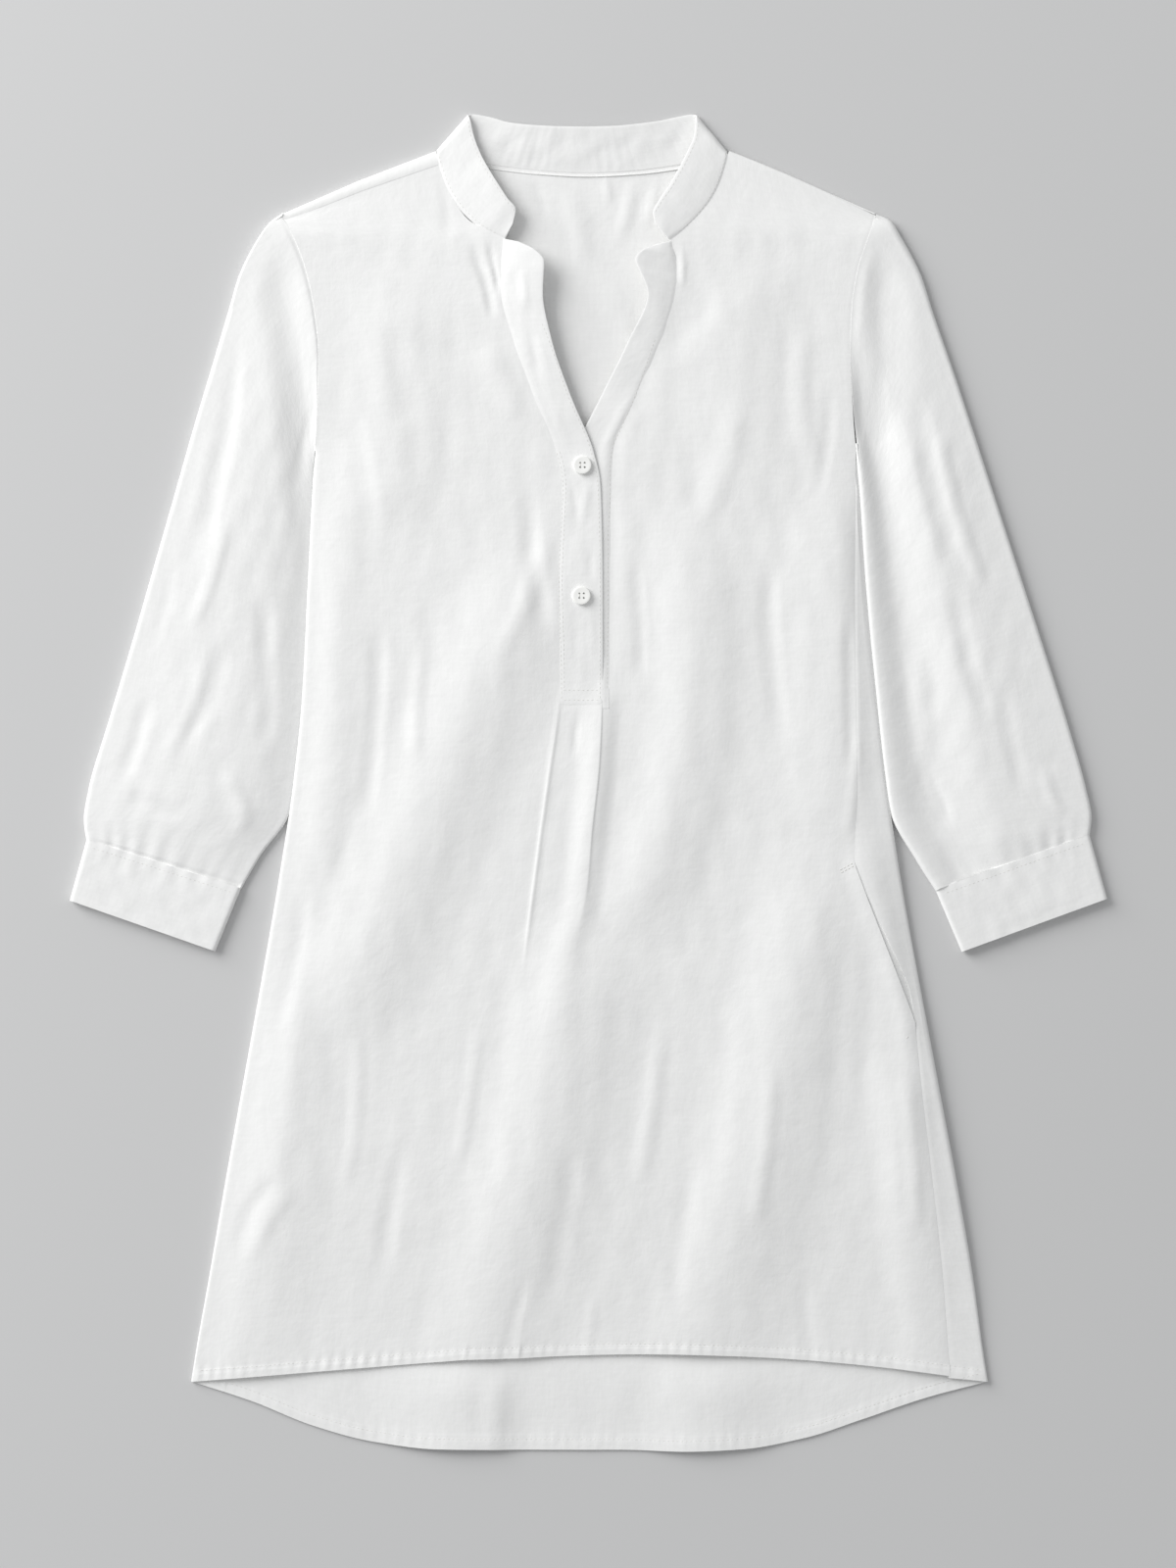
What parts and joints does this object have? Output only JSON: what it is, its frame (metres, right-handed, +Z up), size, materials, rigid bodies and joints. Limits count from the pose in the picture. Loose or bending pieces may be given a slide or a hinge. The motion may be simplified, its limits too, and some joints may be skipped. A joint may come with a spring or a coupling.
{
  "type": "half-button blouse",
  "caption": "White linen tunic blouse laid flat, with a band collar, half-button placket, front pleat, gathered three-quarter sleeves in cuffs, side pocket and dipped back hem.",
  "frame": {"origin": "centre of the bounding box on the surface that the blouse lies on", "axes": "+Y from the hem to the collar, +X to the right of someone who looks down on the front, +Z up off the surface"},
  "size_m": [0.6769, 0.8729, 0.0116],
  "materials": {
    "linen": "plain-woven white linen, matte",
    "linen_band": "interfaced double layer of the same white linen",
    "button_resin": "moulded off-white resin, softly polished"
  },
  "bodies": {
    "root": {"back": "linen", "front": "linen", "placket_underlap": "linen_band", "placket_overlap": "linen_band", "collar_band": "linen_band", "sleeve_left": "linen", "sleeve_right": "linen", "cuff_left": "linen_band", "cuff_right": "linen_band", "pocket_facing": "linen", "button_upper": "button_resin", "button_lower": "button_resin"}
  },
  "joints": []
}
